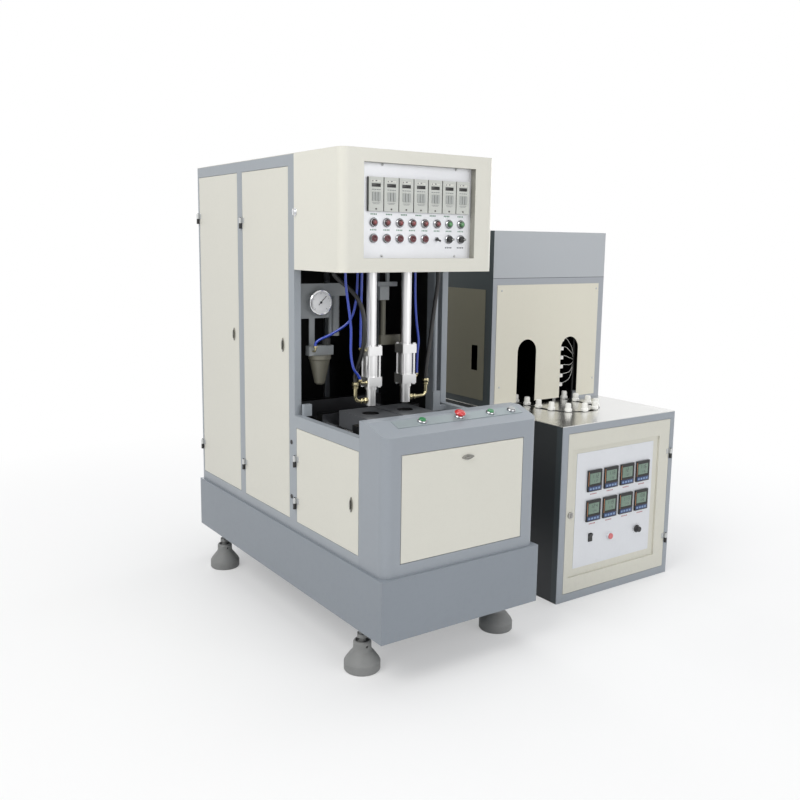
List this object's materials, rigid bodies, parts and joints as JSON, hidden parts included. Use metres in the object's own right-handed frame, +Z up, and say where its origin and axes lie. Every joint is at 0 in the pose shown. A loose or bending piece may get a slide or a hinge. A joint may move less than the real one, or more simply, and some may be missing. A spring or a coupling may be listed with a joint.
{
  "type": "blow moulding machine",
  "caption": "Semi-automatic stretch blow moulding machine for plastic bottles: a press with control hood, moulds and air cylinders, with its separate preform heater.",
  "frame": {"origin": "centre of the bottom of the box round both units, on the floor", "axes": "+X to the right as the operator faces the controls, +Y towards the back of the machine, +Z up"},
  "size_m": [1.743, 1.55, 1.81],
  "materials": {
    "frame_paint": "satin light blue-gray paint",
    "dark_gray_paint": "satin gray paint",
    "cream_paint": "satin cream paint",
    "steel": "brushed stainless steel",
    "chrome": "bright chrome",
    "aluminium": "clear anodised aluminium",
    "cast_gray": "gray painted casting",
    "machine_steel": "dark machine paint",
    "brass": "machined brass",
    "black_rubber": "smooth black hose",
    "blue_plastic": "blue air tube",
    "black_plastic": "moulded black plastic",
    "light_plastic": "light gray moulded plastic",
    "red_plastic": "red plastic",
    "dark_red_plastic": "dark red plastic",
    "green_plastic": "green plastic",
    "white_plastic": "white plastic",
    "holder_plastic": "off-white heat proof plastic"
  },
  "bodies": {
    "frame": {"base_plinth": "dark_gray_paint", "levelling_feet": "cast_gray", "machine_frame": "frame_paint", "cabinet_covers": "cream_paint", "front_apron": "dark_gray_paint", "door_hinges": "machine_steel", "control_hood": "cream_paint", "control_plates": "steel", "timer_modules": "light_plastic", "pilot_lamps": "red_plastic", "switch_bezels": "chrome", "hood_push_buttons": "dark_red_plastic", "blow_cylinders": "aluminium", "brass_fittings": "brass", "black_hoses": "black_rubber", "blue_hoses": "blue_plastic", "pressure_gauge": "white_plastic", "air_service_unit": "machine_steel", "clamp_bed": "machine_steel", "front_moulds": "steel", "tie_bars": "chrome", "clamp_cylinder": "aluminium", "heater_cabinet": "frame_paint", "heater_table": "steel", "heater_column": "dark_gray_paint", "arched_panel": "cream_paint", "column_side_panel": "cream_paint", "chain_wheels": "steel", "conveyor_chain": "machine_steel", "preform_holders": "holder_plastic", "lamp_racks": "holder_plastic"},
    "rear_door": {"rear_side_door": "cream_paint"},
    "middle_door": {"middle_side_door": "cream_paint"},
    "lower_door": {"lower_side_door": "cream_paint"},
    "front_door": {"front_door": "cream_paint"},
    "rear_lock": {"rear_door_lock": "chrome"},
    "middle_lock": {"middle_door_lock": "chrome"},
    "lower_lock": {"lower_door_lock": "chrome"},
    "front_lock": {"front_door_lock": "chrome"},
    "hood_latch": {"hood_latch": "chrome"},
    "toggle": {"toggle_lever": "black_plastic"},
    "left_selector": {"left_selector_knob": "black_plastic"},
    "right_selector": {"right_selector_knob": "black_plastic"},
    "left_start": {"left_start_button": "green_plastic"},
    "right_start": {"right_start_button": "green_plastic"},
    "stop": {"stop_button": "red_plastic"},
    "reset": {"reset_button": "black_plastic"},
    "stretch_rods": {"stretch_rods": "chrome"},
    "blow_nozzles": {"blow_nozzles": "chrome"},
    "needle": {"gauge_needle": "black_plastic"},
    "regulator": {"regulator_knob": "white_plastic"},
    "clamp": {"moving_platen": "machine_steel", "rear_moulds": "steel"},
    "heater_door": {"heater_door": "cream_paint", "heater_control_plate": "steel", "temperature_controllers": "black_plastic"},
    "heater_lock": {"heater_door_lock": "chrome"},
    "rocker": {"heater_switch": "black_plastic"},
    "heater_push": {"heater_button": "red_plastic"},
    "dial": {"heater_dial": "black_plastic"}
  },
  "joints": [
    {"name": "rear_door_swing", "type": "hinge", "parent": "frame", "child": "rear_door", "pos_m": [-0.8405, 0.755, 1.096], "axis": [0, 0, -1], "range_deg": [0, 110]},
    {"name": "middle_door_swing", "type": "hinge", "parent": "frame", "child": "middle_door", "pos_m": [-0.8405, 0.304, 1.096], "axis": [0, 0, -1], "range_deg": [0, 105]},
    {"name": "lower_door_swing", "type": "hinge", "parent": "frame", "child": "lower_door", "pos_m": [-0.8405, -0.156, 0.608], "axis": [0, 0, -1], "range_deg": [0, 110]},
    {"name": "front_door_drop", "type": "hinge", "parent": "frame", "child": "front_door", "pos_m": [-0.4965, -0.759, 0.434], "axis": [1, 0, 0], "range_deg": [0, 90]},
    {"name": "rear_lock_turn", "type": "hinge", "parent": "rear_door", "child": "rear_lock", "pos_m": [-0.8345, 0.39, 1.1], "axis": [-1, 0, 0], "range_deg": [0, 90]},
    {"name": "middle_lock_turn", "type": "hinge", "parent": "middle_door", "child": "middle_lock", "pos_m": [-0.8345, -0.059, 1.1], "axis": [-1, 0, 0], "range_deg": [0, 90]},
    {"name": "lower_lock_turn", "type": "hinge", "parent": "lower_door", "child": "lower_lock", "pos_m": [-0.8345, -0.563, 0.596], "axis": [-1, 0, 0], "range_deg": [0, 90]},
    {"name": "front_lock_turn", "type": "hinge", "parent": "front_door", "child": "front_lock", "pos_m": [-0.4855, -0.763, 0.763], "axis": [0, -1, 0], "range_deg": [0, 90]},
    {"name": "hood_latch_turn", "type": "hinge", "parent": "frame", "child": "hood_latch", "pos_m": [-0.8345, -0.162, 1.599], "axis": [-1, 0, 0], "range_deg": [0, 90]},
    {"name": "toggle_tip", "type": "hinge", "parent": "frame", "child": "toggle", "pos_m": [-0.408, -0.461, 1.507], "axis": [-1, 0, 0], "range_deg": [0, 36]},
    {"name": "left_selector_turn", "type": "hinge", "parent": "frame", "child": "left_selector", "pos_m": [-0.3527, -0.455, 1.507], "axis": [0, -1, 0], "range_deg": [0, 90]},
    {"name": "right_selector_turn", "type": "hinge", "parent": "frame", "child": "right_selector", "pos_m": [-0.2974, -0.455, 1.507], "axis": [0, -1, 0], "range_deg": [0, 90]},
    {"name": "left_start_press", "type": "slide", "parent": "frame", "child": "left_start", "axis": [0, 0.3299, -0.944], "range_m": [0, 0.004], "stiffness_N_per_m": 600, "springref_m": -0.002},
    {"name": "right_start_press", "type": "slide", "parent": "frame", "child": "right_start", "axis": [0, 0.3299, -0.944], "range_m": [0, 0.004], "stiffness_N_per_m": 600, "springref_m": -0.002},
    {"name": "stop_press", "type": "slide", "parent": "frame", "child": "stop", "axis": [0, 0.3299, -0.944], "range_m": [0, 0.004], "stiffness_N_per_m": 600, "springref_m": -0.002},
    {"name": "reset_press", "type": "slide", "parent": "frame", "child": "reset", "axis": [0, 0.3299, -0.944], "range_m": [0, 0.004], "stiffness_N_per_m": 600, "springref_m": -0.002},
    {"name": "stretch_rod_stroke", "type": "slide", "parent": "frame", "child": "stretch_rods", "axis": [0, 0, -1], "range_m": [0, 0.22]},
    {"name": "blow_nozzle_stroke", "type": "slide", "parent": "frame", "child": "blow_nozzles", "axis": [0, 0, -1], "range_m": [0, 0.02]},
    {"name": "needle_turn", "type": "hinge", "parent": "frame", "child": "needle", "pos_m": [-0.7085, -0.104, 1.263], "axis": [0, -1, 0], "range_deg": [-90, 180]},
    {"name": "regulator_turn", "type": "hinge", "parent": "frame", "child": "regulator", "pos_m": [-0.6815, -0.121, 1.11], "axis": [0, 0, 1], "range_deg": [-360, 360]},
    {"name": "clamp_stroke", "type": "slide", "parent": "frame", "child": "clamp", "axis": [0, 1, 0], "range_m": [0, 0.18]},
    {"name": "heater_door_swing", "type": "hinge", "parent": "frame", "child": "heater_door", "pos_m": [0.8515, -0.573, 0.38], "axis": [0, 0, 1], "range_deg": [0, 110]},
    {"name": "heater_lock_turn", "type": "hinge", "parent": "heater_door", "child": "heater_lock", "pos_m": [0.2315, -0.567, 0.378], "axis": [0, 1, 0], "range_deg": [0, 90]},
    {"name": "rocker_tip", "type": "hinge", "parent": "heater_door", "child": "rocker", "pos_m": [0.3645, -0.561, 0.257], "axis": [-1, 0, 0], "range_deg": [0, 16]},
    {"name": "heater_button_press", "type": "slide", "parent": "heater_door", "child": "heater_push", "axis": [0, 1, 0], "range_m": [0, 0.003], "stiffness_N_per_m": 600, "springref_m": -0.002},
    {"name": "dial_turn", "type": "hinge", "parent": "heater_door", "child": "dial", "pos_m": [0.6605, -0.561, 0.244], "axis": [0, -1, 0], "range_deg": [-135, 135]}
  ]
}
